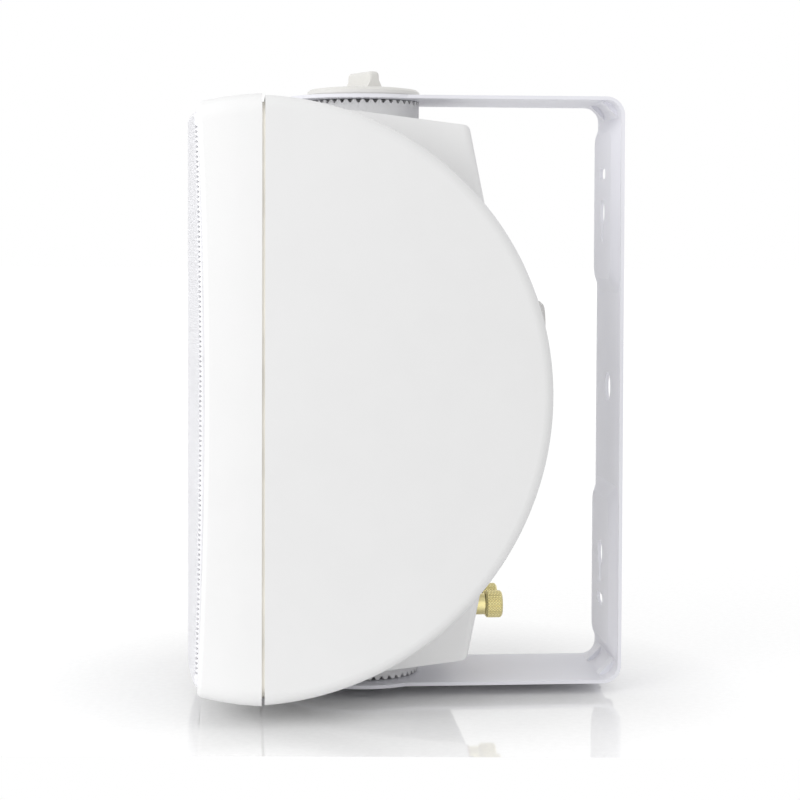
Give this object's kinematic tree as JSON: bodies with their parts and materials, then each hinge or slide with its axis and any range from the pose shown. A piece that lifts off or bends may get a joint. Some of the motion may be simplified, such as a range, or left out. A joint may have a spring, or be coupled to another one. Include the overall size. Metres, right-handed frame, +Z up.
{
  "type": "wall speaker",
  "caption": "Two-way wall speaker: half-round white cabinet, bowed perforated grille and a U-shaped steel bracket on which it pans, with a clamp knob on top.",
  "frame": {"origin": "centre of the wire hole on the bracket's wall face", "axes": "+Y into the wall, the speaker faces -Y, +Z up"},
  "size_m": [0.1644, 0.1869, 0.2679],
  "materials": {
    "white_moulding": "fine matt white ABS moulding",
    "white_grille": "white powder-coated steel sheet",
    "white_bracket": "white powder-coated steel strip, satin",
    "grey_cloth": "thin grey acoustic cloth",
    "grey_gasket": "beige-grey foam",
    "white_knob": "warm white plastic",
    "gold_plate": "gold-plated brass",
    "brass": "plain brass",
    "steel": "zinc-plated steel",
    "black_plastic": "black insulating plastic",
    "red_plastic": "red insulating plastic",
    "black_frame": "black painted pressed steel",
    "paper_cone": "black coated paper",
    "rubber_roll": "black rubber",
    "spider_cloth": "varnished cotton cloth",
    "silk_dome": "coated silk",
    "copper": "enamelled copper wire",
    "ferrite": "dark ferrite",
    "board": "green circuit board",
    "capacitor_film": "yellow film capacitor",
    "ceramic": "white ceramic"
  },
  "bodies": {
    "bracket": {"bracket": "white_bracket", "knob_washer": "steel", "pivot_washer": "steel"},
    "clamp": {"clamp_knob": "white_knob", "clamp_stud": "steel"},
    "level": {"level_knob": "white_knob", "level_shaft": "steel"},
    "nut_black": {"post_nut_black": "gold_plate"},
    "nut_red": {"post_nut_red": "gold_plate"},
    "woofer_piston": {"woofer_cone": "paper_cone", "woofer_dust_cap": "paper_cone", "voice_coil": "copper"},
    "speaker": {"rear_cabinet": "white_moulding", "front_baffle": "white_moulding", "seam_gasket": "grey_gasket", "grille": "white_grille", "grille_cloth": "grey_cloth", "insert_top": "brass", "insert_bottom": "brass", "pivot_screw": "steel", "baffle_screws": "steel", "woofer_basket": "black_frame", "woofer_surround": "rubber_roll", "woofer_spider": "spider_cloth", "woofer_top_plate": "steel", "woofer_magnet": "ferrite", "woofer_yoke": "steel", "woofer_screws": "steel", "tweeter_faceplate": "black_plastic", "tweeter_dome": "silk_dome", "tweeter_magnet": "ferrite", "tweeter_screws": "steel", "crossover_board": "board", "crossover_coil": "copper", "crossover_capacitor": "capacitor_film", "crossover_resistor": "ceramic", "post_bush_black": "black_plastic", "post_bush_red": "red_plastic", "post_stud_black": "gold_plate", "post_stud_red": "gold_plate", "post_lock_nuts": "steel", "level_control": "steel"}
  },
  "joints": [
    {"name": "pan", "type": "hinge", "parent": "bracket", "child": "speaker", "pos_m": [0, -0.1106, 0], "axis": [0, 0, 1], "range_deg": [-90, 90]},
    {"name": "clamp_turn", "type": "hinge", "parent": "speaker", "child": "clamp", "pos_m": [0, -0.1106, 0.13], "axis": [0, 0, 1], "range_deg": [0, 720]},
    {"name": "level_turn", "type": "hinge", "parent": "speaker", "child": "level", "pos_m": [0, -0.036, 0.0282], "axis": [0, 1, 0], "range_deg": [-135, 135]},
    {"name": "nut_black_turn", "type": "hinge", "parent": "speaker", "child": "nut_black", "pos_m": [0.0095, -0.053, -0.0948], "axis": [0, 1, 0], "range_deg": [0, 1080]},
    {"name": "nut_red_turn", "type": "hinge", "parent": "speaker", "child": "nut_red", "pos_m": [-0.0095, -0.053, -0.0948], "axis": [0, 1, 0], "range_deg": [0, 1080]},
    {"name": "cone_travel", "type": "slide", "parent": "speaker", "child": "woofer_piston", "axis": [0, -1, 0], "range_m": [-0.003, 0.003], "stiffness_N_per_m": 1000, "deforming": ["woofer_surround", "woofer_spider"]}
  ]
}
